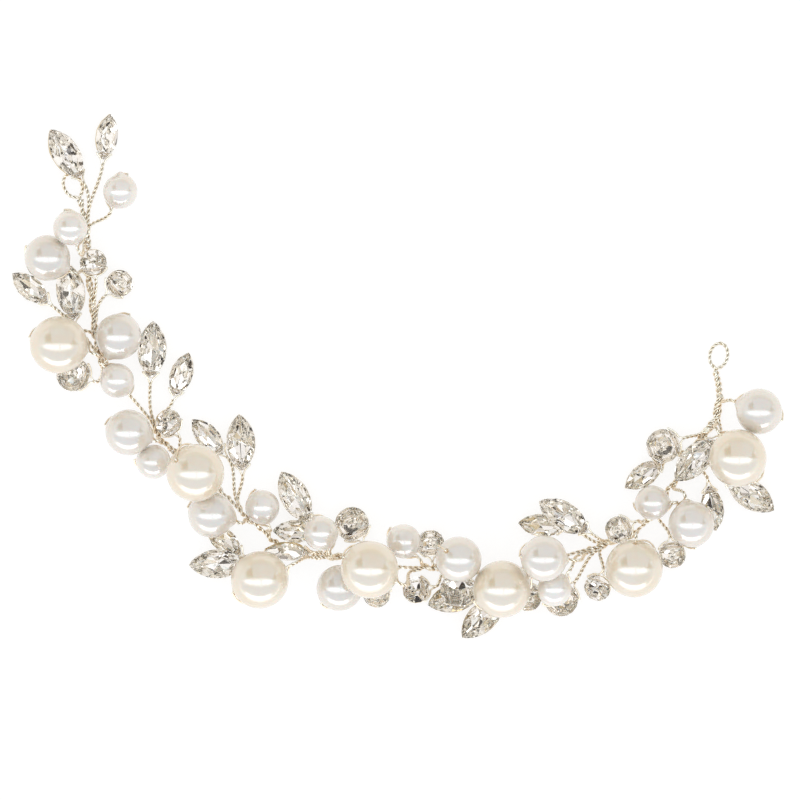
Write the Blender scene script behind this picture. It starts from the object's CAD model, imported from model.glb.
"""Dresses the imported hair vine: lustrous pearls, foiled cut crystals and twisted pale gold wire."""

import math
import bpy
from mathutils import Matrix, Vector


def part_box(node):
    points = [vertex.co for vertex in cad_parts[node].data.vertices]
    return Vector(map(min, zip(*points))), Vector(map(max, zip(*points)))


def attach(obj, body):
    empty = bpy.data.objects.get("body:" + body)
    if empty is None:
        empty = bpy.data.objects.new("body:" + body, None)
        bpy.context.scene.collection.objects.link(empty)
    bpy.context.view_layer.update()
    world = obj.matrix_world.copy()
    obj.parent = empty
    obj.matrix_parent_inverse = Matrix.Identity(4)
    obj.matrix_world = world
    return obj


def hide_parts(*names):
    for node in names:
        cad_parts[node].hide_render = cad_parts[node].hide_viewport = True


bl_info = {
    "name": "Hair Vine",
    "version": (1, 0, 0),
    "blender": (4, 5, 0),
    "location": "View3D > Sidebar > Hair Vine",
    "description": "Pearls and cut crystals on twisted wire, lying on a table",
    "category": "Object",
}

import bmesh
import bpy
from mathutils import Matrix, Vector

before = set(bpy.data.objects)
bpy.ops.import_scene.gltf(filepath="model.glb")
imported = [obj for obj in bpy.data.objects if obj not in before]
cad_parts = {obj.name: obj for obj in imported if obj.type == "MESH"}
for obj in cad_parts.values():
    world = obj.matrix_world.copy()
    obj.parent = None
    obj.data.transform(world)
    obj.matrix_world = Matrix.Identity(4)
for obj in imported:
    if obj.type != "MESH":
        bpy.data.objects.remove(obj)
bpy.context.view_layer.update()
MM = 0.001
UP = Vector((0, 0, 1))


def box_size(node):
    low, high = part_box(node)
    return high - low


# Places along the main stem: x in percent of the vine's width, y in percent of its height, and how
# far the stem is doubled there
ROUTE = (
    (-41.0, 33.3, 1), (-40.5, 29.5, 1), (-40.0, 24.1, 1), (-40.0, 19.5, 1), (-39.6, 15.1, 1),
    (-39.2, 9.4, 1), (-38.7, 4.8, 0.6), (-37.4, 0.6, 0), (-36.1, -1.9, 0), (-34.9, -3.6, 0),
    (-33.5, -5.9, 0), (-32.1, -8.4, 0), (-31.3, -10.6, 0), (-30.4, -12.9, 0), (-29.1, -14.1, 0),
    (-27.5, -15.8, 0), (-25.7, -18.5, 0), (-23.1, -22.1, 0), (-21.6, -24.0, 0), (-20.3, -26.1, 0),
    (-19.0, -27.8, 0), (-17.3, -29.9, 0), (-16.1, -31.8, 0), (-14.6, -32.8, 0), (-12.1, -33.4, 0),
    (-10.7, -34.5, 0), (-8.9, -35.1, 0), (-7.0, -34.9, 0), (-4.0, -35.7, 0), (0.2, -36.8, 0),
    (3.7, -37.0, 0), (6.4, -37.2, 0), (9.5, -37.9, 0), (13.1, -37.9, 0), (16.5, -37.0, 0),
    (19.6, -36.0, 0), (22.7, -34.3, 0), (26.0, -33.0, 0), (28.9, -31.6, 0), (30.7, -30.3, 0),
    (32.0, -28.8, 0), (33.2, -27.1, 0), (34.2, -24.6, 0), (35.5, -21.3, 0), (37.1, -18.9, 0),
    (38.2, -15.8, 0), (39.3, -12.6, 0.5), (40.4, -10.6, 1), (41.3, -8.5, 1), (41.7, -5.9, 1),
    (41.8, -4.2, 0.8), (41.7, -1.9, 0.5), (41.3, 0.6, 0.3),
)

# Every bead: name, kind, x and y as above, turn from its wire to its far side, rise of the far side,
# roll about its own length, and the place on the route where its wire leaves the stem. Kinds: LP, MP and
# SP are large, medium and small pearls, LL and SL leaf crystals, LR and SR round ones
BEADS = (
    ("small_leaf_01", "SL", -47.5, 16.5, 141, 0, 0, 6.5),
    ("large_leaf_01", "LL", -42.25, 15.8, 97, 3, -12, 5.4),
    ("large_leaf_02", "LL", -42.9, 42.1, 122, 2, 22, 1.4),
    ("small_leaf_02", "SL", -37.6, 45.4, 82, 2, 20, 1.2),
    ("pearl_01", "SP", -35.8, 34.9, 65, 0, 45, 1.4),
    ("pearl_03", "MP", -45.2, 22.2, 150, -6, 45, 3.0),
    ("pearl_02", "SP", -42.2, 27.9, 110, 0, -45, 1.5),
    ("small_round_01", "SR", -39.3, 21.4, 98, 14, 0, 4.2),
    ("small_round_02", "SR", -35.9, 17.4, 41, 0, 0, 4.8),
    ("large_round_01", "LR", -41.9, 0, 161, 0, 0, 6.6),
    ("pearl_04", "LP", -43.7, 5.6, 166, 0, -45, 6),
    ("large_leaf_03", "LL", -31.7, 4.7, 87, 4, 0, 11.5),
    ("pearl_05", "MP", -36.0, 7.2, 62, 0, 45, 6.7),
    ("pearl_06", "SP", -36.2, -1.2, -48, 0, 45, 7.2),
    ("small_leaf_03", "SL", -27.9, 0, 72, 8, 0, 12),
    ("small_round_03", "SR", -29.6, -9.2, 127, 20, 12, 14.6),
    ("pearl_08", "SP", -31.5, -16.7, 173, 0, 45, 14),
    ("pearl_07", "MP", -34.7, -11.1, 163, 0, -45, 12.8),
    ("small_leaf_04", "SL", -24.5, -11.9, 133, 3, 0, 18.8),
    ("large_leaf_04", "LL", -20.2, -13.0, 93, 12, 0, 18.8),
    ("small_leaf_05", "SL", -22.4, -31.7, 139, 0, 0, 22.7),
    ("large_leaf_05", "LL", -23.2, -36.2, -178, 4, 0, 23.3),
    ("pearl_10", "MP", -24.0, -26.8, 164, 0, -45, 20),
    ("pearl_09", "LP", -26.0, -18.8, 146, 40, -45, 17),
    ("large_leaf_06", "LL", -13.2, -23.4, 118, 8, 0, 26),
    ("pearl_11", "SP", -17.4, -25.4, 110, 0, 45, 21.3),
    ("small_leaf_06", "SL", -14.2, -33.8, 177, 14, -40, 25.8),
    ("small_leaf_07", "SL", -13.1, -30.0, 179, 3, 0, 26.1),
    ("large_round_02", "LR", -5.8, -28.6, 121, 0, 0, 27.8),
    ("pearl_13", "SP", -9.8, -30.3, 114, 0, -45, 26.8),
    ("pearl_12", "LP", -17.7, -39.2, -155, 8, 45, 25.3),
    ("pearl_14", "MP", -7.4, -40.8, -140, 0, 45, 27.4),
    ("small_round_04", "SR", -2.6, -42.0, -108, 0, 0, 28.6),
    ("small_round_05", "SR", 4.4, -32.3, 95, 0, 0, 30.6),
    ("pearl_16", "SP", 0.9, -31.9, 132, 0, 45, 30),
    ("pearl_15", "LP", -3.5, -37.2, 155, 12, -45, 29.7),
    ("small_round_06", "SR", 2.5, -41.2, -171, 0, 15, 31),
    ("large_leaf_07", "LL", 7.6, -42.6, -165, 0, 0, 32.7),
    ("large_round_03", "LR", 7.8, -41.2, -97, 8, 0, 31.0),
    ("large_leaf_08", "LL", 11.1, -46.5, -136, 8, 0, 33.3),
    ("small_round_07", "SR", 17.0, -42.7, -90, 0, 0, 34.2),
    ("pearl_18", "LP", 13.6, -41.0, -157, 0, 45, 33.4),
    ("pearl_17", "MP", 8.0, -35.3, 145, 50, 0, 32.9),
    ("large_round_04", "LR", 21.3, -43.0, -128, 0, 0, 37.1),
    ("pearl_20", "SP", 20.4, -41.0, -129, 0, 45, 36.4),
    ("small_leaf_08", "SL", 18.7, -28.9, 174, 3, 0, 37.3),
    ("large_leaf_09", "LL", 21.6, -27.1, 148, 3, 0, 37.5),
    ("pearl_19", "MP", 19.0, -35.1, 176, 12, -45, 36.8),
    ("small_round_08", "SR", 26.0, -40.8, -108, -22, 12, 37.2),
    ("small_round_09", "SR", 28.7, -29.7, -155, 0, 0, 40.2),
    ("small_round_10", "SR", 35.7, -34.5, -83, 0, 0, 41.4),
    ("pearl_21", "LP", 30.7, -37.1, -93, -30, 45, 38.6),
    ("small_leaf_09", "SL", 32.0, -19.3, -145, 10, 0, 45.8),
    ("small_leaf_10", "SL", 40.9, -25.6, -81, 10, 0, 45.1),
    ("pearl_23", "MP", 38.1, -28.6, -78, 0, -45, 43.2),
    ("pearl_22", "SP", 33.1, -24.5, 180, 0, 45, 42.4),
    ("large_round_05", "LR", 34.5, -13.7, -159, 0, 0, 46.7),
    ("large_leaf_10", "LL", 38.6, -16.4, -134, 6, 0, 48.3),
    ("large_leaf_11", "LL", 45.8, -22.9, -35, 0, 0, 46),
    ("pearl_25", "MP", 46.9, -7.1, -22, 0, 45, 49.8),
    ("pearl_24", "LP", 44.1, -16.0, -54, 8, 45, 48),
)

# The branches' nodes, each with the stretch of the route where its branches leave the stem
SPRIGS = (
    ("sprig_wires_left", 0, 20.5),
    ("sprig_wires_middle", 20.5, 35.5),
    ("sprig_wires_right", 35.5, 99),
)

# Beads whose wire leaves one cut end standing out from the stem
LOOSE_ENDS = ("pearl_01", "pearl_24", "pearl_25", "large_leaf_02", "large_leaf_11", "pearl_21",
              "small_leaf_06")

# The small pearl whose coat stands out in a mound, and the way there in plan
BUMPED = "pearl_01"
BUMP_WAY = Vector((0.03, 1, 0))

# Ways of a stone's main facets, in degrees
ROUND_MAINS = tuple(range(0, 360, 45))
LEAF_MAINS = (0, 52, 90, 128, 180, 232, 270, 308)

# Corners of a strand's section
WIRE_SIDES = 6

# From a twist's middle to its strands' middles, in half strands: in a twist, and in the coil at the right
STRAND_ROOM = 1.03
COIL_ROOM = 2.8

# Along Y on the right: where the stem's pairs start to draw together, and where the coil starts
PAIRS_CLOSE = -5.5 * MM
COIL_START = -3.7 * MM


def length(label, about, default):
    return bpy.props.FloatProperty(name=label, description=about, default=default, min=0, precision=5,
                                   subtype="DISTANCE", unit="LENGTH")


def share(label, about, default, top=1.0):
    return bpy.props.FloatProperty(name=label, description=about, default=default, min=0, max=top,
                                   subtype="FACTOR")


def colour(label, about, default):
    return bpy.props.FloatVectorProperty(name=label, description=about, default=default, size=3,
                                         min=0, max=1, subtype="COLOR")


class HairVineSizes(bpy.types.PropertyGroup):
    width: length("Width", "Width of the vine as it lies", 133.2 * MM)
    height: length("Height", "Height of the vine as it lies", 90.3 * MM)
    stem_height: length("Stem height", "Height of the main stem's middle over the table", 0.8 * MM)
    large_pearl: length("Large pearl", "Diameter of a large pearl", box_size("pearl_04").z)
    medium_pearl: length("Medium pearl", "Diameter of a medium pearl", box_size("pearl_05").z)
    small_pearl: length("Small pearl", "Diameter of a small pearl", box_size("pearl_01").z)
    pearl_bore: length("Pearl bore", "Diameter of the hole through a pearl", 0.9 * MM)
    pearl_cone: length("Pearl cone", "How far a medium pearl's coat swells out to its wire", 0.45 * MM)
    pearl_lip: length("Pearl lip", "How far the coat swells out round the other holes", 0.1 * MM)
    pearl_bump: length("Pearl bump", "Height of the mound on one small pearl", 0.55 * MM)
    bump_reach: length("Bump reach", "How far round the mound's top the coat rises", 1.25 * MM)
    large_leaf: length("Large leaf", "Length of a large leaf crystal", 10 * MM)
    small_leaf: length("Small leaf", "Length of a small leaf crystal", 8 * MM)
    large_round: length("Large round", "Diameter of a large round crystal", 5.8 * MM)
    small_round: length("Small round", "Diameter of a small round crystal", 4.6 * MM)
    large_round_depth: length("Large round depth", "Thickness of a large round crystal", 3.2 * MM)
    small_round_depth: length("Small round depth", "Thickness of a small round crystal", 2.6 * MM)
    crown: share("Crown", "Part of a crystal's thickness above its edge", 0.36)
    table: share("Table", "Width of a crystal's flat top", 0.56)
    edge: length("Edge", "Thickness of a crystal's edge", 0.3 * MM)
    bore_inset: length("Bore inset", "From a crystal's end to its hole", 1.2 * MM)
    crystal_bore: length("Crystal bore", "Diameter of a crystal's hole", 0.6 * MM)


class HairVineWire(bpy.types.PropertyGroup):
    strand: length("Strand", "Diameter of one strand", 0.32 * MM)
    pitch: length("Twist", "Length of one turn of a branch's twist", 1.7 * MM)
    stem_pitch: length("Stem twist", "Length of one turn of the stem's twist", 1.9 * MM)
    end_reach: length("Eye reach", "From a bead to where its strands start to twist", 0.7 * MM)
    gap: length("Eye gap", "Between a bead and the strand bent round it", 0.13 * MM)
    left_spread: length("Left spread", "From the stem's middle to its pairs of strands, left", 0.36 * MM)
    right_spread: length("Right spread", "From the stem's middle to its pairs of strands, right", 0.5 * MM)
    loop_reach: length("Loop reach", "From an end loop's middle to its far end", 2.14 * MM)
    loop_side: length("Loop side", "From an end loop's middle to its sides", 1.54 * MM)
    bright: colour("Bright wire", "Colour of the plating where it is clean", (0.93, 0.81, 0.645))
    groove: colour("Groove", "Colour deep between two strands", (0.50, 0.385, 0.25))


class HairVineBeads(bpy.types.PropertyGroup):
    cream: colour("Cream pearl", "Body of the large pearls", (0.79, 0.70, 0.565))
    blush: colour("Warm patches", "Warmer patches in the large pearls' coat", (0.78, 0.66, 0.49))
    cool: colour("Cool pearl", "Body of the medium pearls", (0.76, 0.70, 0.625))
    pale: colour("Pale pearl", "Body of the small pearls", (0.83, 0.775, 0.705))
    shade: colour("Cool patches", "Patches in the smaller pearls' coat", (0.73, 0.655, 0.56))
    glass: colour("Crystal", "Colour of the glass", (0.985, 0.985, 0.98))
    foil_inside: colour("Foil inside", "Foil as seen through the glass", (0.95, 0.935, 0.90))
    foil_outside: colour("Foil outside", "Foil's back, as seen from behind", (0.66, 0.53, 0.32))


class HairVineStage(bpy.types.PropertyGroup):
    distance: length("Camera distance", "Camera's height over the table", 2.5)
    frame_width: length("Frame", "Width of the table that the camera takes in", 137.93 * MM)
    aim_x: bpy.props.FloatProperty(name="Aim X", description="Middle of the picture along X",
                                   default=0.56 * MM, unit="LENGTH")
    aim_y: bpy.props.FloatProperty(name="Aim Y", description="Middle of the picture along Y",
                                   default=-4.44 * MM, unit="LENGTH")
    glow: share("Table glow", "Light that the white table gives of itself", 0.82, 2)
    front_glow: share("Front glow", "Light that the table gives besides, in front of the vine", 0.9, 2)
    strip: share("Strip light", "Brightness of the long soft light", 2.6, 20)


def sizes():
    return bpy.context.scene.hair_vine_sizes


def wires():
    return bpy.context.scene.hair_vine_wire


def beads():
    return bpy.context.scene.hair_vine_beads


def kind_size(kind):
    """Length, width and thickness of a kind of bead; a leaf is half as wide as it is long."""
    s = sizes()
    return {
        "LP": (s.large_pearl,) * 3,
        "MP": (s.medium_pearl,) * 3,
        "SP": (s.small_pearl,) * 3,
        "LL": (s.large_leaf, s.large_leaf / 2, s.large_leaf * 0.28),
        "SL": (s.small_leaf, s.small_leaf / 2, s.small_leaf * 0.2875),
        "LR": (s.large_round, s.large_round, s.large_round_depth),
        "SR": (s.small_round, s.small_round, s.small_round_depth),
    }[kind]


def is_pearl(kind):
    return kind in ("LP", "MP", "SP")


def is_leaf(kind):
    return kind in ("LL", "SL")


def in_plan(x, y):
    return Vector((x * sizes().width / 100, y * sizes().height / 100, 0))


def square_to(way):
    """The level way to the left of another."""
    return Vector((-way.y, way.x, 0))


def node_of(row):
    """The CAD node of a bead: the small stones share two fields."""
    return {"SL": "small_leaves", "SR": "small_rounds"}.get(row[1], row[0])


def bead_place(row):
    """Where a bead lies: its turn from the row, its height from the CAD node it stands for."""
    name, kind, x, y, turn, rise, roll = row[:7]
    turned = (Matrix.Rotation(math.radians(turn), 4, "Z") @ Matrix.Rotation(math.radians(-rise), 4, "Y")
              @ Matrix.Rotation(math.radians(roll), 4, "X"))
    spot = in_plan(x, y)
    if is_pearl(kind):
        low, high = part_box(name)
        spot.z = (low.z + high.z) / 2
    else:
        lowest = turned @ Vector((0, 0, -(1 - sizes().crown) * kind_size(kind)[2]))
        aim = spot + lowest
        points = [v.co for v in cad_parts[node_of(row)].data.vertices]
        best = min(points, key=lambda p: (p.x - aim.x) ** 2 + (p.y - aim.y) ** 2)
        if math.hypot(best.x - aim.x, best.y - aim.y) > 0.05 * MM:
            raise RuntimeError(f"{name} isn't where its row says")
        spot.z = best.z - lowest.z
    return Matrix.Translation(spot) @ turned


# Materials

def add_node(tree, kind, **settings):
    made = tree.nodes.new(kind)
    for key, value in settings.items():
        setattr(made, key, value)
    return made


def link(tree, source, target):
    tree.links.new(source, target)


def axes_of(tree, place):
    """X, Y and Z of a place or a way."""
    parts = add_node(tree, "ShaderNodeSeparateXYZ")
    link(tree, place, parts.inputs[0])
    return parts.outputs


def math_step(tree, operation, first, second):
    step = add_node(tree, "ShaderNodeMath", operation=operation)
    for socket, value in zip(step.inputs, (first, second)):
        if isinstance(value, bpy.types.NodeSocket):
            link(tree, value, socket)
        else:
            socket.default_value = value
    return step.outputs[0]


def blend_colours(tree, factor, first, second):
    mix = add_node(tree, "ShaderNodeMix", data_type="RGBA")
    for socket, value in ((mix.inputs[0], factor), (mix.inputs[6], first), (mix.inputs[7], second)):
        if isinstance(value, bpy.types.NodeSocket):
            link(tree, value, socket)
        else:
            socket.default_value = value if isinstance(value, float) else (*value, 1)
    return mix.outputs[2]


def map_range(tree, value, low, high, to_low=0.0, to_high=1.0, smooth=False):
    step = add_node(tree, "ShaderNodeMapRange", interpolation_type="SMOOTHSTEP" if smooth else "LINEAR")
    link(tree, value, step.inputs[0])
    for socket, number in zip(list(step.inputs)[1:5], (low, high, to_low, to_high)):
        socket.default_value = number
    return step.outputs[0]


def new_group(name, inputs, outputs):
    group = bpy.data.node_groups.new(name, "ShaderNodeTree")
    for label, kind, default in inputs:
        socket = group.interface.new_socket(label, in_out="INPUT", socket_type=kind)
        socket.default_value = default
    for label, kind in outputs:
        group.interface.new_socket(label, in_out="OUTPUT", socket_type=kind)
    return group, add_node(group, "NodeGroupInput"), add_node(group, "NodeGroupOutput")


def mottle_group():
    """Soft patches of a second colour and a fine uneven height, both by the object's own coordinates."""
    if "Mottle" in bpy.data.node_groups:
        return bpy.data.node_groups["Mottle"]
    tree, given, out = new_group(
        "Mottle",
        [("Body", "NodeSocketColor", (0.8, 0.8, 0.8, 1)),
         ("Patch", "NodeSocketColor", (0.7, 0.6, 0.5, 1)),
         ("Patch Scale", "NodeSocketFloat", 180.0),
         ("Patch Share", "NodeSocketFloat", 0.5),
         ("Grain Scale", "NodeSocketFloat", 1500.0)],
        [("Color", "NodeSocketColor"), ("Patches", "NodeSocketFloat"), ("Height", "NodeSocketFloat")])
    spot = add_node(tree, "ShaderNodeTexCoord")
    broad = add_node(tree, "ShaderNodeTexNoise")
    broad.inputs["Detail"].default_value = 2
    fine = add_node(tree, "ShaderNodeTexNoise")
    fine.inputs["Detail"].default_value = 3
    link(tree, spot.outputs["Object"], broad.inputs["Vector"])
    link(tree, spot.outputs["Object"], fine.inputs["Vector"])
    link(tree, given.outputs["Patch Scale"], broad.inputs["Scale"])
    link(tree, given.outputs["Grain Scale"], fine.inputs["Scale"])
    patches = map_range(tree, broad.outputs[0], 0.42, 0.66, smooth=True)
    patches = math_step(tree, "MULTIPLY", patches, given.outputs["Patch Share"])
    mixed = blend_colours(tree, patches, given.outputs["Body"], given.outputs["Patch"])
    link(tree, mixed, out.inputs["Color"])
    link(tree, patches, out.inputs["Patches"])
    link(tree, fine.outputs[0], out.inputs["Height"])
    return tree


def new_material(name):
    made = bpy.data.materials.new(name)
    made.use_nodes = True
    tree = made.node_tree
    return made, tree, tree.nodes["Principled BSDF"]


def set_sockets(shader, **values):
    for label, value in values.items():
        is_colour = isinstance(value, tuple) and len(value) == 3
        shader.inputs[label.replace("_", " ")].default_value = (*value, 1) if is_colour else value


def mottled(tree, shader, body, patch, scale, part, grain, relief):
    """Puts the mottle group before a shader: colour, and a fine bump of its height."""
    group = add_node(tree, "ShaderNodeGroup", node_tree=mottle_group())
    set_sockets(group, Body=tuple(body), Patch=tuple(patch), Patch_Scale=scale, Patch_Share=part,
                Grain_Scale=grain)
    link(tree, group.outputs["Color"], shader.inputs["Base Color"])
    bump = add_node(tree, "ShaderNodeBump")
    bump.inputs["Strength"].default_value = relief
    bump.inputs["Distance"].default_value = 0.02 * MM
    link(tree, group.outputs["Height"], bump.inputs["Height"])
    link(tree, bump.outputs[0], shader.inputs["Normal"])
    return group


def pearl_finish(name, body, patch, tint):
    if name in bpy.data.materials:
        return bpy.data.materials[name]
    made, tree, shader = new_material(name)
    set_sockets(shader, IOR=1.45, Coat_Weight=1.0, Coat_Roughness=0.05, Coat_IOR=2.4, Coat_Tint=tint,
                Subsurface_Weight=0.12, Subsurface_Scale=0.6 * MM)
    group = mottled(tree, shader, body, patch, 210.0, 0.8, 2600.0, 0.16)
    rough = map_range(tree, group.outputs["Patches"], 0.0, 1.0, 0.30, 0.42)
    link(tree, rough, shader.inputs["Roughness"])
    return made


def pearl_bore_finish(tone):
    """A pearl's bore, which light comes into through the bead itself."""
    made, tree, shader = new_material("pearl_bore")
    set_sockets(shader, Roughness=0.5, Emission_Color=tuple(tone), Emission_Strength=0.22)
    mottled(tree, shader, tone, (0.70, 0.60, 0.45), 900.0, 0.5, 3000.0, 0.3)
    return made


def crystal_finishes():
    """Glass for a stone's front and its bore, foil for its edge and back."""
    if "crystal_glass" in bpy.data.materials:
        return [bpy.data.materials[n] for n in ("crystal_glass", "crystal_foil")]
    glass, tree, shader = new_material("crystal_glass")
    set_sockets(shader, Base_Color=tuple(beads().glass), IOR=1.58, Transmission_Weight=1.0,
                Specular_Tint=(1.0, 0.86, 0.70))
    smear = add_node(tree, "ShaderNodeTexNoise")
    smear.inputs["Scale"].default_value = 700.0
    spot = add_node(tree, "ShaderNodeTexCoord")
    link(tree, spot.outputs["Object"], smear.inputs["Vector"])
    link(tree, map_range(tree, smear.outputs[0], 0.55, 0.8, 0.0, 0.02), shader.inputs["Roughness"])

    foil, tree, shader = new_material("crystal_foil")
    set_sockets(shader, Metallic=1.0)
    group = mottled(tree, shader, beads().foil_outside, (0.62, 0.48, 0.28), 400.0, 0.6, 2500.0, 0.004)
    side = add_node(tree, "ShaderNodeNewGeometry")
    inside = blend_colours(tree, side.outputs["Backfacing"], group.outputs["Color"],
                           tuple(beads().foil_inside))
    link(tree, inside, shader.inputs["Base Color"])
    rough = map_range(tree, group.outputs["Patches"], 0.0, 0.6, 0.03, 0.05)
    link(tree, rough, shader.inputs["Roughness"])
    return [glass, foil]


def wire_finishes():
    """Plated wire, darker deep between its strands, and its dull cut ends."""
    if "plated_wire" in bpy.data.materials:
        return [bpy.data.materials[n] for n in ("plated_wire", "cut_wire_end")]
    plated, tree, shader = new_material("plated_wire")
    set_sockets(shader, Metallic=1.0)
    deep = add_node(tree, "ShaderNodeAttribute", attribute_name="groove")
    group = mottled(tree, shader, wires().bright, (0.88, 0.71, 0.49), 420.0, 0.6, 2200.0, 0.25)
    depth = map_range(tree, deep.outputs["Fac"], 0.0, 0.95, smooth=True)
    toned = blend_colours(tree, depth, group.outputs["Color"], tuple(wires().groove))
    link(tree, toned, shader.inputs["Base Color"])
    rough = map_range(tree, group.outputs["Patches"], 0.0, 0.6, 0.28, 0.4)
    link(tree, rough, shader.inputs["Roughness"])
    cut, tree, shader = new_material("cut_wire_end")
    set_sockets(shader, Metallic=1.0, Roughness=0.5)
    mottled(tree, shader, (0.12, 0.09, 0.06), (0.25, 0.18, 0.1), 1500.0, 0.7, 6000.0, 0.4)
    return [plated, cut]


# Shapes

def clear_selection():
    if bpy.context.mode != "OBJECT":
        bpy.ops.object.mode_set(mode="OBJECT")
    bpy.ops.object.select_all(action="DESELECT")


def only(thing):
    clear_selection()
    thing.select_set(True)
    bpy.context.view_layer.objects.active = thing


def pick(thing, test, kind="verts"):
    """Selects the vertices, edges or faces of a mesh in edit mode that pass a test."""
    bpy.context.tool_settings.mesh_select_mode = (kind == "verts", kind == "edges", kind == "faces")
    shape = bmesh.from_edit_mesh(thing.data)
    for group in (shape.faces, shape.edges, shape.verts):
        for part in group:
            part.select = False
    for part in getattr(shape, kind):
        if test(part):
            part.select_set(True)
    shape.select_flush_mode()
    bmesh.update_edit_mesh(thing.data)


def new_object(name, data):
    made = bpy.data.objects.new(name, data)
    bpy.context.collection.objects.link(made)
    return made


def place_copy(model, name, where):
    """A copy of a model with its own mesh, and its place in that mesh."""
    mesh = model.data.copy()
    mesh.name = name
    mesh.transform(where)
    return new_object(name, mesh)


def hand_over(piece, slot, *nodes):
    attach(piece, "root")
    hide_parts(*nodes)


def pearl_rise(kind, side):
    """How far the coat swells out round a hole; side is -1 at the wire's end."""
    return sizes().pearl_cone if kind == "MP" and side < 0 else sizes().pearl_lip


def pearl_model(kind, mound):
    """A drilled pearl with its bore along X, its coat drawn out at the holes and, where given, a mound."""
    r = kind_size(kind)[0] / 2
    bore = sizes().pearl_bore / 2
    rounding = 0.07 * MM
    rings = round(math.pi / math.asin(bore / r))
    clear_selection()
    bpy.ops.mesh.primitive_uv_sphere_add(segments=32, ring_count=rings, radius=r,
                                         rotation=(0, math.pi / 2, 0))
    made = bpy.context.active_object
    bpy.ops.object.transform_apply(location=False, rotation=True, scale=False)
    bpy.ops.object.mode_set(mode="EDIT")
    pick(made, lambda v: abs(v.co.x) > r * 0.9999)
    bpy.ops.mesh.delete(type="VERT")
    step = math.pi / rings
    for side in (1, -1):
        for ring, part in ((1, 1.0), (2, 0.3)):
            level = side * r * math.cos(step * ring)
            pick(made, lambda v: abs(v.co.x - level) < 0.01 * MM)
            rise = pearl_rise(kind, side)
            bpy.ops.transform.translate(value=(side * rise * part, 0, 0))
    pick(made, lambda e: e.is_boundary, "edges")
    bpy.ops.mesh.bridge_edge_loops()
    pick(made, lambda e: all(math.hypot(v.co.y, v.co.z) < bore * 1.05 for v in e.verts)
         and abs(e.verts[0].co.x - e.verts[1].co.x) < 0.01 * MM, "edges")
    bpy.ops.mesh.bevel(offset=rounding, segments=2, affect="EDGES")
    if mound:
        top = min((v.co for v in made.data.vertices), key=lambda co: (co - mound * r).length).copy()
        pick(made, lambda v: (v.co - top).length < 0.01 * MM)
        bpy.ops.transform.translate(value=mound * sizes().pearl_bump, use_proportional_edit=True,
                                    proportional_edit_falloff="SMOOTH",
                                    proportional_size=sizes().bump_reach)
    bpy.ops.mesh.select_all(action="SELECT")
    bpy.ops.mesh.normals_make_consistent(inside=False)
    bpy.ops.object.mode_set(mode="OBJECT")
    finer = made.modifiers.new("Smooth coat", "SUBSURF")
    finer.levels = finer.render_levels = 1
    bpy.ops.object.modifier_apply(modifier=finer.name)
    bpy.ops.object.shade_smooth()
    for face in made.data.polygons:
        inner = all(math.hypot(*made.data.vertices[k].co.yz) < bore * 1.03 for k in face.vertices)
        face.material_index = 1 if inner else 0
    return made


def edge_reach(kind, way):
    """How far a stone's edge lies from its middle, square to a way given in degrees."""
    long, wide = kind_size(kind)[:2]
    if not is_leaf(kind):
        return long / 2
    arc = (long * long + wide * wide) / (4 * wide)
    lean = math.radians(abs(90 - abs((way + 180) % 360 - 180)))
    if lean <= math.asin(long / 2 / arc):
        return arc - (arc - wide / 2) * math.cos(lean)
    return long / 2 * math.sin(lean)


def stone_model(kind):
    """A stone cut plane by plane: table, stars and mains in front, and mains behind."""
    thick = kind_size(kind)[2]
    top = thick * sizes().crown
    deep = thick - top
    half_edge = sizes().edge / 2
    table = sizes().table
    mains = LEAF_MAINS if is_leaf(kind) else ROUND_MAINS
    blunt = 0.04 * MM
    star_share = 0.58
    between = [((a + b) / 2, (b - a) / 2) for a, b in zip(mains, mains[1:] + (360,))]
    clear_selection()
    bpy.ops.mesh.primitive_cube_add(size=1, scale=(kind_size(kind)[0] * 1.2,) * 3)
    made = bpy.context.active_object
    bpy.ops.object.transform_apply(location=False, rotation=False, scale=True)
    bpy.ops.object.mode_set(mode="EDIT")

    def cut(way, out, height, slope):
        """Cuts with a plane through a point so far out and so high. Outwards it falls by slope, or rises
        where slope is negative, and is upright without one."""
        outwards = Vector((math.cos(math.radians(way)), math.sin(math.radians(way)), 0))
        normal = outwards
        if slope is not None:
            normal = outwards * abs(slope) + (UP if slope >= 0 else -UP)
        bpy.ops.mesh.select_all(action="SELECT")
        bpy.ops.mesh.bisect(plane_co=outwards * out + UP * height, plane_no=normal.normalized(),
                            use_fill=True, clear_outer=True)

    def reach(way):
        return edge_reach(kind, way)

    cut(0, 0, top, 0)
    outline = [k * 22.5 for k in range(16)]
    if is_leaf(kind):
        outline = [0, 180] + [s * 90 + k * 10.2 for s in (1, -1) for k in range(-5, 6)]
    for way in outline:
        cut(way, reach(way) - (blunt if way in (0, 180) else 0), 0, None)
    for way in mains:
        steep = (top - half_edge) / (reach(way) * (1 - table))
        cut(way, reach(way), half_edge, steep)
        cut(way, reach(way), -half_edge, -(deep - half_edge) / reach(way))
    for way, half in between:
        steep = (top - half_edge) / (reach(way) * (1 - table))
        cut(way, reach(way) * table * math.cos(math.radians(half)), top, steep * star_share)
    bpy.ops.mesh.select_all(action="SELECT")
    bpy.ops.mesh.remove_doubles(threshold=0.003 * MM)
    bpy.ops.mesh.dissolve_limited(angle_limit=math.radians(0.3))
    bpy.ops.mesh.normals_make_consistent(inside=False)
    bpy.ops.object.mode_set(mode="OBJECT")
    for finish in crystal_finishes():
        made.data.materials.append(finish)
    for face in made.data.polygons:
        face.material_index = 1 if face.normal.z < 0.05 else 0
        face.use_smooth = False
    drill(made, kind)
    return made


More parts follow.
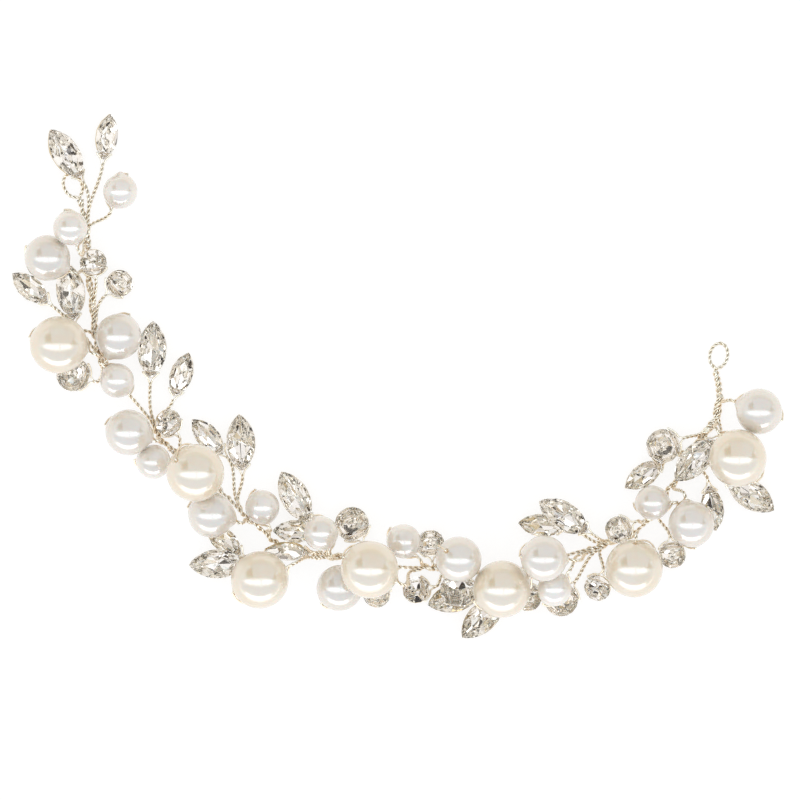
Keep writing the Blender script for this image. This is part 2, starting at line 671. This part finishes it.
def drill(stone, kind):
    """Drills a stone from side to side near its wire's end."""
    long, wide = kind_size(kind)[:2]
    bpy.ops.mesh.primitive_cylinder_add(
        vertices=14, radius=sizes().crystal_bore / 2, depth=wide * 1.2,
        location=(-(long / 2 - sizes().bore_inset), 0, 0), rotation=(math.pi / 2, 0, 0))
    bit = bpy.context.active_object
    for finish in crystal_finishes():
        bit.data.materials.append(finish)
    only(stone)
    hole = stone.modifiers.new("Bore", "BOOLEAN")
    hole.operation = "DIFFERENCE"
    hole.solver = "EXACT"
    hole.object = bit
    bpy.ops.object.modifier_apply(modifier=hole.name)
    bpy.data.objects.remove(bit)


def rounded(points, step):
    """A smooth line through points, with a point about every step."""
    ends = [points[0] * 2 - points[1]] + list(points) + [points[-1] * 2 - points[-2]]
    line = []
    for k in range(len(points) - 1):
        line += rounded_span(ends[k:k + 4], step)
    return line + [points[-1].copy()]


def ways_along(line):
    last = len(line) - 1
    return [(line[min(k + 1, last)] - line[max(k - 1, 0)]).normalized() for k in range(last + 1)]


def carried(line, first):
    """A side for each point of a line, carried along from the first without turning about it."""
    sides = []
    side = first
    for way in ways_along(line):
        side = (side - way * side.dot(way)).normalized()
        sides.append(side)
    return sides


class Strand:
    """The middle of one strand, and the way from it to the middle of its twist."""

    def __init__(self):
        self.points = []
        self.inward = []

    def add(self, point, inward=Vector((0, 0, 0))):
        if not self.points or (point - self.points[-1]).length > 0.03 * MM:
            self.points.append(point)
            self.inward.append(inward)

    def extend(self, other, back=False):
        pairs = list(zip(other.points, other.inward))
        for point, inward in reversed(pairs) if back else pairs:
            self.add(point, inward)


def draw_strands(name, strands, radius):
    """Sweeps each strand as a round wire, and marks how deep in its twist each place lies."""
    shape = bpy.data.curves.new(name, "CURVE")
    shape.dimensions = "3D"
    shape.bevel_depth = radius
    shape.bevel_resolution = (WIRE_SIDES - 4) // 2
    shape.twist_mode = "MINIMUM"
    for strand in strands:
        spline = shape.splines.new("POLY")
        spline.points.add(len(strand.points) - 1)
        for slot, point in zip(spline.points, strand.points):
            slot.co = (*point, 1)
    only(new_object(name, shape))
    bpy.ops.object.convert(target="MESH")
    made = bpy.context.active_object
    mesh = made.data
    centres = [(p, i) for s in strands for p, i in zip(s.points, s.inward)]
    if len(mesh.vertices) != len(centres) * WIRE_SIDES:
        raise RuntimeError(f"{name} has {len(mesh.vertices)} corners for {len(centres)} places")
    depth = mesh.attributes.new("groove", "FLOAT", "POINT")
    for k, vertex in enumerate(mesh.vertices):
        point, inward = centres[k // WIRE_SIDES]
        depth.data[k].value = max(0.0, (vertex.co - point).dot(inward) / radius)
    bpy.ops.object.mode_set(mode="EDIT")
    pick(made, lambda e: e.is_boundary, "edges")
    bpy.ops.mesh.fill_holes(sides=WIRE_SIDES)
    bpy.ops.object.mode_set(mode="OBJECT")
    mesh = made.data
    mesh.materials.clear()
    for finish in wire_finishes():
        mesh.materials.append(finish)
    for face in mesh.polygons:
        is_end = len(face.vertices) == WIRE_SIDES
        face.use_smooth = not is_end
        face.material_index = 1 if is_end else 0
    return made


def stem_line(step):
    """The main stem's middle, smoothed, with the share of doubling at each point."""
    corners = [in_plan(x, y) + UP * sizes().stem_height for x, y, _ in ROUTE]
    line = []
    doubled = []
    ends = [corners[0] * 2 - corners[1]] + corners + [corners[-1] * 2 - corners[-2]]
    for k in range(len(corners) - 1):
        inner = rounded_span(ends[k:k + 4], step)
        line += inner
        here, change = ROUTE[k][2], ROUTE[k + 1][2] - ROUTE[k][2]
        doubled += [here + change * j / len(inner) for j in range(len(inner))]
    return line + [corners[-1]], doubled + [ROUTE[-1][2]]


def rounded_span(four, step):
    """The stretch between the middle two of four points, without its last point."""
    a, b, c, d = four
    count = max(1, round((c - b).length / step))
    span = []
    for k in range(count):
        t = k / count
        span.append(0.5 * (2 * b + (c - a) * t + (2 * a - 5 * b + 4 * c - d) * t * t
                           + (3 * b - a - 3 * c + d) * t ** 3))
    return span


def stem_at(t):
    """Point on the stem at a place of its route, and the way there."""
    k = min(int(t), len(ROUTE) - 2)
    a = in_plan(*ROUTE[k][:2])
    b = in_plan(*ROUTE[k + 1][:2])
    return a + (b - a) * (t - k) + UP * sizes().stem_height, (b - a).normalized()


def pearl_eye(kind):
    """Strand round a pearl in its own frame: in by its bore, over its far end and back behind it."""
    r = kind_size(kind)[0] / 2
    half = wires().strand / 2
    start = -(r + wires().end_reach)
    reach = r + half + wires().gap
    tip = r + pearl_rise(kind, 1)
    places = [(start, half), (start + 0.35 * MM, 0.1 * MM), (-r * 0.9, 0), (0, 0), (r * 0.95, 0),
              (tip + 0.05 * MM, -0.02 * MM), (tip + 0.22 * MM, -0.2 * MM), (tip + 0.12 * MM, -0.48 * MM)]
    for angle in range(18, 166, 7):
        a = math.radians(angle)
        places.append((reach * math.cos(a), -reach * math.sin(a)))
    places += [(start + 0.3 * MM, -0.45 * MM), (start, -half)]
    return [Vector((x, 0, z)) for x, z in places]


def stone_eye(kind):
    """Strand through a stone's hole and down both sides of its end, in the stone's own frame."""
    long, wide = kind_size(kind)[:2]
    half = wires().strand / 2
    start = -(long / 2 + wires().end_reach)
    gap = half + wires().gap * 0.5
    arc = (long * long + wide * wide) / (4 * wide)
    drop = arc - wide / 2
    hole = math.asin((long / 2 - sizes().bore_inset) / arc)
    tip = math.asin(min(1, (long / 2) / arc)) if is_leaf(kind) else math.radians(80)
    side = []
    for k in range(5):
        a = hole + (tip - hole) * k / 4
        side.append(Vector((-(arc + gap) * math.sin(a), (arc + gap) * math.cos(a) - drop, 0)))
    side = [p for p in side if p.x > start + 0.25 * MM and p.y > half]
    near = [Vector((start, half, 0))] + list(reversed(side))
    inner = Vector((near[-1].x, near[-1].y * 0.45, 0))
    other = [Vector((p.x, -p.y, 0)) for p in reversed(near)]
    return near + [inner, Vector((inner.x, -inner.y, 0))] + other


def branch_line(row, place, step):
    """Middle of a branch from its bead's throat to the side of the stem, and the way it runs on."""
    kind = row[1]
    throat = Vector((-(kind_size(kind)[0] / 2 + wires().end_reach), 0, 0))
    start = place @ throat
    a = place @ (throat - Vector((0.3 * MM, 0, 0)))
    stem, way = stem_at(row[7])
    across = square_to(way)
    side = 1 if (a - stem).dot(across) >= 0 else -1
    along = 1 if (stem - a).dot(way) >= 0 else -1
    root = stem + across * side * 0.5 * MM
    pull = (root - a).length / 3
    outward = place.to_3x3() @ Vector((-1, 0, 0))
    b = a + outward * pull
    c = root - way * along * pull
    spans = 12
    curve = [a * (1 - u) ** 3 + b * 3 * u * (1 - u) ** 2 + c * 3 * u * u * (1 - u) + root * u ** 3
             for u in [k / spans for k in range(spans + 1)]]
    return rounded([start] + curve, step), along


def sprig_strand(row, place):
    """One sprig's strand: up the branch, round its bead and back, with its ends wound round the stem."""
    wire = wires()
    half = wire.strand / 2
    step = wire.pitch / 11
    line, along = branch_line(row, place, step)
    bead_is_pearl = is_pearl(row[1])
    axis = UP if bead_is_pearl else Vector((0, 1, 0))
    sides = carried(line, place.to_3x3() @ axis)
    routes = ways_along(line)
    run = [0.0]
    for p, q in zip(line, line[1:]):
        run.append(run[-1] + (q - p).length)
    both = []
    for phase in (0, math.pi):
        strand = Strand()
        for point, side, forward, s in zip(line, sides, routes, run):
            angle = phase + 2 * math.pi * s / wire.pitch
            out = side * math.cos(angle) + forward.cross(side) * math.sin(angle)
            strand.add(point + out * half * STRAND_ROOM, -out)
        wind_in(strand, row[7], along, row[0] in LOOSE_ENDS and phase > 0)
        both.append(strand)
    eye = [place @ p for p in (pearl_eye(row[1]) if bead_is_pearl else stone_eye(row[1]))]
    eye_step = (0.3 if bead_is_pearl else 0.13) * MM
    whole = Strand()
    whole.extend(both[0], back=True)
    for point in rounded(eye, eye_step):
        whole.add(point)
    whole.extend(both[1])
    return whole


def wind_in(strand, t, along, loose):
    """Winds the end of a strand round the stem, and tucks its tail in or leaves it out."""
    stem, way = stem_at(t)
    last = strand.points[-1] - stem
    start_out = math.hypot(last.dot(square_to(way)), last.z)
    start_angle = math.atan2(last.z, last.dot(square_to(way)))
    reach = wires().strand * 1.2
    pitch = wires().stem_pitch
    turns = 1.5
    straight = 0.2
    settling = 3.2
    tail_start = 0.8
    tail_rise = (0.42 if loose else -0.18) * MM
    count = 22
    for k in range(1, count + 1):
        s = k / count
        run = s * pitch * turns
        angle = start_angle + along * 2 * math.pi * max(0, run - straight * pitch) / pitch
        settle = min(1, s * settling)
        out = start_out + (reach - start_out) * settle * settle * (3 - 2 * settle)
        if s > tail_start:
            out += (s - tail_start) / (1 - tail_start) * tail_rise
        centre, heading = stem_along(t, along * run)
        radial = square_to(heading) * math.cos(angle) + UP * math.sin(angle)
        strand.add(centre + radial * out, -radial)


def stem_along(t, distance):
    """Point and way on the stem, so far along it from a place on its route."""
    k = min(int(t), len(ROUTE) - 2)
    spot = t
    while abs(distance) > 1e-9:
        a = in_plan(*ROUTE[k][:2])
        b = in_plan(*ROUTE[k + 1][:2])
        long = (b - a).length
        left = ((k + 1 - spot) if distance > 0 else (spot - k)) * long
        last = len(ROUTE) - 2 if distance > 0 else 0
        if abs(distance) <= left or k == last:
            spot += distance / long
            spot = min(max(spot, 0), len(ROUTE) - 1)
            break
        distance -= math.copysign(left, distance)
        spot = k + 1 if distance > 0 else k
        k += 1 if distance > 0 else -1
    return stem_at(spot)


def rope(line, out, pitch):
    """A pair of strands twisted round a line, so far out from it."""
    forwards = ways_along(line)
    sides = carried(line, square_to(forwards[0]).normalized())
    run = 0.0
    pair = (Strand(), Strand())
    for k, (point, side, forward) in enumerate(zip(line, sides, forwards)):
        if k:
            run += (point - line[k - 1]).length
        for strand, phase in zip(pair, (0, 0.5)):
            angle = 2 * math.pi * (run / pitch + phase)
            radial = side * math.cos(angle) + forward.cross(side) * math.sin(angle)
            strand.add(point + radial * out, -radial)
    return list(pair)


class HairVinePiece:
    bl_options = {"REGISTER", "UNDO"}


class HAIRVINE_OT_pearls(HairVinePiece, bpy.types.Operator):
    """Drilled pearls in three sizes with a lustrous coat"""
    bl_idname = "hair_vine.pearls"
    bl_label = "Pearls"

    def execute(self, context):
        b = beads()
        finishes = {
            "LP": pearl_finish("pearl_large", b.cream, b.blush, (1.0, 0.99, 0.96)),
            "MP": pearl_finish("pearl_medium", b.cool, b.shade, (1.0, 0.995, 0.98)),
            "SP": pearl_finish("pearl_small", b.pale, b.shade, (1.0, 0.995, 0.98)),
        }
        bore = pearl_bore_finish(b.cream)
        for kind, bumped in (("LP", False), ("MP", False), ("SP", False), ("SP", True)):
            rows = [row for row in BEADS if row[1] == kind and (row[0] == BUMPED) == bumped]
            mound = bead_place(rows[0]).to_3x3().inverted() @ BUMP_WAY if bumped else None
            model = pearl_model(kind, mound)
            for finish in (finishes[kind], bore):
                model.data.materials.append(finish)
            for row in rows:
                hand_over(place_copy(model, "lustre_" + row[0], bead_place(row)), "pearl", row[0])
            bpy.data.objects.remove(model)
        return {"FINISHED"}


class HAIRVINE_OT_crystals(HairVinePiece, bpy.types.Operator):
    """Foiled leaf and round crystals, the small ones as one field of each"""
    bl_idname = "hair_vine.crystals"
    bl_label = "Crystals"

    def execute(self, context):
        for kind, field in (("LL", None), ("LR", None), ("SL", "small_leaves"), ("SR", "small_rounds")):
            model = stone_model(kind)
            rows = [row for row in BEADS if row[1] == kind]
            stones = [place_copy(model, "cut_" + row[0], bead_place(row)) for row in rows]
            bpy.data.objects.remove(model)
            if field is None:
                for row, stone in zip(rows, stones):
                    hand_over(stone, "crystal", row[0])
                continue
            clear_selection()
            for stone in stones:
                stone.select_set(True)
            bpy.context.view_layer.objects.active = stones[0]
            bpy.ops.object.join()
            stones[0].name = "cut_" + field
            hand_over(stones[0], "crystal", field)
        return {"FINISHED"}


class HAIRVINE_OT_main_stem(HairVinePiece, bpy.types.Operator):
    """Main stem of twisted strands, doubled near both ends"""
    bl_idname = "hair_vine.main_stem"
    bl_label = "Main stem"

    def execute(self, context):
        wire = wires()
        half = wire.strand / 2
        line, doubled = stem_line(wire.stem_pitch / 11)
        on_right = [k > len(line) / 2 for k in range(len(line))]
        lanes = self.lanes(line, doubled, on_right)
        strands = rope(lanes[0], half * STRAND_ROOM, wire.stem_pitch)
        pairs_from = 0.3
        for lane, right in ((1, False), (1, True), (2, True)):
            beside = [point for point, part, side in zip(lanes[lane], doubled, on_right)
                      if part > pairs_from and side == right]
            strands += rope(beside, half * STRAND_ROOM, wire.pitch)
        coiled = [point for point, right in zip(line, on_right) if right and point.y > COIL_START]
        strands += rope(coiled, half * COIL_ROOM, wire.stem_pitch)
        hand_over(draw_strands("twisted_main_stem", strands, half), "wire", "main_stem")
        return {"FINISHED"}

    def lanes(self, line, doubled, on_right):
        """Middles of the stem's pairs of strands, which turn slowly round each other near the ends."""
        wire = wires()
        closing = 0.75
        closing_length = 2 * MM
        first_turn = 0.3
        flatness = 0.5
        lanes = ([], [], [])
        run = 0.0
        for k, (point, way) in enumerate(zip(line, ways_along(line))):
            run += (point - line[k - 1]).length if k else 0.0
            apart = (wire.right_spread if on_right[k] else wire.left_spread) * min(1, doubled[k] * 2)
            turn_pitch = wire.stem_pitch * 4
            if on_right[k]:
                turn_pitch = wire.stem_pitch * 2.7
                apart *= 1 - closing * min(1, max(0, (point.y - PAIRS_CLOSE) / closing_length))
            for lane, quarter in zip(lanes, (0, 2, 1)):
                turn = 2 * math.pi * run / turn_pitch + first_turn + quarter * math.pi / 2
                out = square_to(way) * math.cos(turn) + UP * math.sin(turn) * flatness
                lane.append(point + out * apart)
        return lanes


class HAIRVINE_OT_end_loops(HairVinePiece, bpy.types.Operator):
    """Oval loops of twisted wire at the stem's two ends"""
    bl_idname = "hair_vine.end_loops"
    bl_label = "End loops"

    def execute(self, context):
        wire = wires()
        half = wire.strand / 2
        mouth = 12
        corners = 44
        step = 0.19 * MM
        ends = (("end_loop_left", 0, (-0.45, 0.9)), ("end_loop_right", len(ROUTE) - 1, (0.2, 1)))
        for node, t, way in ends:
            start = stem_at(t)[0]
            ahead = Vector((*way, 0)).normalized()
            low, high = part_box(node)
            centre = (low + high) / 2
            centre.z = sizes().stem_height
            oval = []
            for k in range(corners):
                a = math.radians(mouth - 180 + k * (360 - 2 * mouth) / (corners - 1))
                oval.append(centre + ahead * wire.loop_reach * math.cos(a)
                            + square_to(ahead) * wire.loop_side * math.sin(a))
            neck = start - ahead * 0.5 * MM
            throat = start + ahead * 0.2 * MM
            line = rounded([neck, throat] + oval + [throat, neck], step)
            strands = rope(line, half * STRAND_ROOM, wire.stem_pitch * 0.9)
            hand_over(draw_strands("twisted_" + node, strands, half), "wire", node)
        return {"FINISHED"}


class HAIRVINE_OT_sprig_wires(HairVinePiece, bpy.types.Operator):
    """Twisted branches, each one strand that goes through its bead and back"""
    bl_idname = "hair_vine.sprig_wires"
    bl_label = "Sprig wires"

    def execute(self, context):
        for node, first, last in SPRIGS:
            strands = [sprig_strand(row, bead_place(row)) for row in BEADS if first <= row[7] < last]
            hand_over(draw_strands("twisted_" + node, strands, wires().strand / 2), "wire", node)
        return {"FINISHED"}


class HAIRVINE_OT_stage(HairVinePiece, bpy.types.Operator):
    """White table, soft studio light and the camera straight above"""
    bl_idname = "hair_vine.stage"
    bl_label = "Stage"

    def execute(self, context):
        stage = context.scene.hair_vine_stage
        clear_selection()
        bpy.ops.mesh.primitive_circle_add(vertices=96, radius=1.5, fill_type="NGON")
        table = context.active_object
        table.name = "white_table"
        finish, tree, shader = new_material("white_table")
        set_sockets(shader, Roughness=0.9, Emission_Color=(1.0, 1.0, 1.0))
        mottled(tree, shader, (0.22, 0.22, 0.22), (0.21, 0.21, 0.21), 8.0, 0.5, 300.0, 0.02)
        spot = add_node(tree, "ShaderNodeTexCoord")
        y = axes_of(tree, spot.outputs["Object"])["Y"]
        # In front of the vine the table glows more, which lights the lower sides of the pearls
        most = stage.glow + stage.front_glow
        glow = map_range(tree, y, -110 * MM, -80 * MM, most, stage.glow, smooth=True)
        link(tree, glow, shader.inputs["Emission Strength"])
        table.data.materials.append(finish)
        studio_light(stage)
        lens = bpy.data.cameras.new("overhead_camera")
        lens.sensor_width = 36
        beads_middle = 4 * MM
        lens.lens = lens.sensor_width * (stage.distance - beads_middle) / stage.frame_width
        lens.clip_start = 0.05
        lens.clip_end = 20
        camera = new_object("overhead_camera", lens)
        camera.location = (stage.aim_x, stage.aim_y, stage.distance)
        context.scene.camera = camera
        context.scene.view_settings.view_transform = "Standard"
        cycles = context.scene.cycles
        cycles.max_bounces = 20
        cycles.glossy_bounces = 14
        cycles.transmission_bounces = 16
        return {"FINISHED"}


def sky_of(tree, x, lean, plain, panels):
    """Colour of the light from each direction. A panel's row: from which lean towards +Y to which and how
    soft these edges are, in degrees, its left and right along X and how soft those are, and its colour."""
    sky = plain
    for low, high, soft, left, right, side_soft, tone in panels:
        low, high, soft = (math.radians(angle) for angle in (low, high, soft))
        panel = map_range(tree, lean, low - soft, low + soft, smooth=True)
        edges = ((lean, high, soft, 0.0), (x, left, side_soft, 1.0), (x, right, side_soft, 0.0))
        for value, edge, blur, far in edges:
            step = map_range(tree, value, edge - blur, edge + blur, 1.0 - far, far, smooth=True)
            panel = math_step(tree, "MULTIPLY", panel, step)
        sky = blend_colours(tree, panel, sky, tone)
    return sky


def card_room(tree, way):
    """A room of flat cards for the crystals to catch: most pale, some bright, a few nearly black."""
    cells = add_node(tree, "ShaderNodeTexVoronoi")
    cells.inputs["Scale"].default_value = 1.8
    link(tree, way, cells.inputs["Vector"])
    draw = add_node(tree, "ShaderNodeSeparateColor")
    link(tree, cells.outputs["Color"], draw.inputs[0])
    cards = add_node(tree, "ShaderNodeValToRGB")
    cards.color_ramp.interpolation = "CONSTANT"
    tones = ((0.0, (0.02, 0.013, 0.011)), (0.17, (0.42, 0.37, 0.34)), (0.20, (0.84, 0.79, 0.77)),
             (0.38, (0.98, 0.94, 0.935)), (0.62, (1.12, 1.09, 1.10)), (0.78, (1.7, 1.68, 1.70)),
             (0.88, (3.8, 3.75, 3.8)))
    stops = cards.color_ramp.elements
    while len(stops) < len(tones):
        stops.new(0.5)
    for stop, (start, tone) in zip(stops, tones):
        stop.position = start
        stop.color = (*tone, 1)
    link(tree, draw.outputs[0], cards.inputs[0])
    # A dark gap runs all round the room, a little over the table
    gap_height = 0.075
    gap_reach = 0.028
    gap = math_step(tree, "COMPARE", axes_of(tree, way)["Z"], gap_height)
    gap.node.inputs[2].default_value = gap_reach
    return blend_colours(tree, gap, cards.outputs[0], (0.03, 0.02, 0.015))


def studio_light(stage):
    """A white tent with a long strip light and a grey ceiling; crystals also meet its dark gaps."""
    world = bpy.data.worlds.new("light_tent")
    bpy.context.scene.world = world
    world.use_nodes = True
    world.cycles.sampling_method = "NONE"
    tree = world.node_tree
    tree.nodes.clear()
    spot = add_node(tree, "ShaderNodeTexCoord")
    x, y, z = axes_of(tree, spot.outputs["Generated"])
    lean = math_step(tree, "ARCTAN2", y, z)
    glossy = sky_of(tree, x, lean, (0.95, 1.1, 1.2), (
        # Low behind the vine
        (80, 180, 8, -1.2, 1.2, 0.1, (0.62, 0.66, 0.60)),
        # Grey ceiling behind, darker at both ends, with a pale card in it
        (9, 76, 3, -0.50, 0.88, 0.04, (0.30, 0.32, 0.30)),
        (12, 56, 13, -0.80, -0.42, 0.10, (0.10, 0.07, 0.0)),
        (0, 36, 12, 0.72, 0.98, 0.09, (0.10, 0.07, 0.0)),
        (10, 72, 2, -0.46, 0.84, 0.02, (0.63, 0.78, 0.97)),
        # Pale card in front, and a bright one low down
        (-66, -29, 5, -0.95, 0.95, 0.05, (0.66, 0.86, 1.12)),
        (-100, -71, 4, -0.72, 0.58, 0.12, (3.4, 3.5, 3.7)),
        # Strip light overhead, and the post across it
        (-21, 2, 9, -0.88, 0.80, 0.14, (stage.strip, stage.strip * 1.15, stage.strip * 1.3)),
        (-27, 6, 5, 0.06, 0.14, 0.05, (1.5, 1.7, 2.0))))
    sparkle = card_room(tree, spot.outputs["Generated"])
    ray = add_node(tree, "ShaderNodeLightPath")
    light = blend_colours(tree, ray.outputs["Is Transmission Ray"], glossy, sparkle)
    even = blend_colours(tree, map_range(tree, y, -0.9, 0.9), (1.03, 1.07, 1.17), (0.94, 0.89, 0.80))
    light = blend_colours(tree, ray.outputs["Is Diffuse Ray"], light, even)
    light = blend_colours(tree, ray.outputs["Is Camera Ray"], light, (1.0, 1.0, 1.0))
    seen = add_node(tree, "ShaderNodeBackground")
    link(tree, light, seen.inputs["Color"])
    link(tree, seen.outputs[0], add_node(tree, "ShaderNodeOutputWorld").inputs[0])


class HAIRVINE_PT_panel(bpy.types.Panel):
    """Pieces and sizes of the hair vine"""
    bl_idname = "HAIRVINE_PT_panel"
    bl_label = "Hair Vine"
    bl_space_type = "VIEW_3D"
    bl_region_type = "UI"
    bl_category = "Hair Vine"

    def draw(self, context):
        layout = self.layout
        for operator in OPERATORS:
            layout.operator(operator.bl_idname)
        for group in (getattr(context.scene, name) for name in GROUPS):
            box = layout.box()
            for name in group.bl_rna.properties.keys():
                if name not in ("rna_type", "name"):
                    box.prop(group, name)


GROUPS = {
    "hair_vine_sizes": HairVineSizes,
    "hair_vine_wire": HairVineWire,
    "hair_vine_beads": HairVineBeads,
    "hair_vine_stage": HairVineStage,
}
OPERATORS = (HAIRVINE_OT_stage, HAIRVINE_OT_main_stem, HAIRVINE_OT_end_loops, HAIRVINE_OT_sprig_wires,
             HAIRVINE_OT_pearls, HAIRVINE_OT_crystals)
CLASSES = (*GROUPS.values(), *OPERATORS, HAIRVINE_PT_panel)


def register():
    for cls in CLASSES:
        bpy.utils.register_class(cls)
    for name, group in GROUPS.items():
        setattr(bpy.types.Scene, name, bpy.props.PointerProperty(type=group))


def unregister():
    for name in GROUPS:
        delattr(bpy.types.Scene, name)
    for cls in reversed(CLASSES):
        bpy.utils.unregister_class(cls)


def main():
    register()
    bpy.ops.hair_vine.stage()
    bpy.ops.hair_vine.main_stem()
    bpy.ops.hair_vine.end_loops()
    bpy.ops.hair_vine.sprig_wires()
    bpy.ops.hair_vine.pearls()
    bpy.ops.hair_vine.crystals()
    clear_selection()


if __name__ == "__main__":
    main()
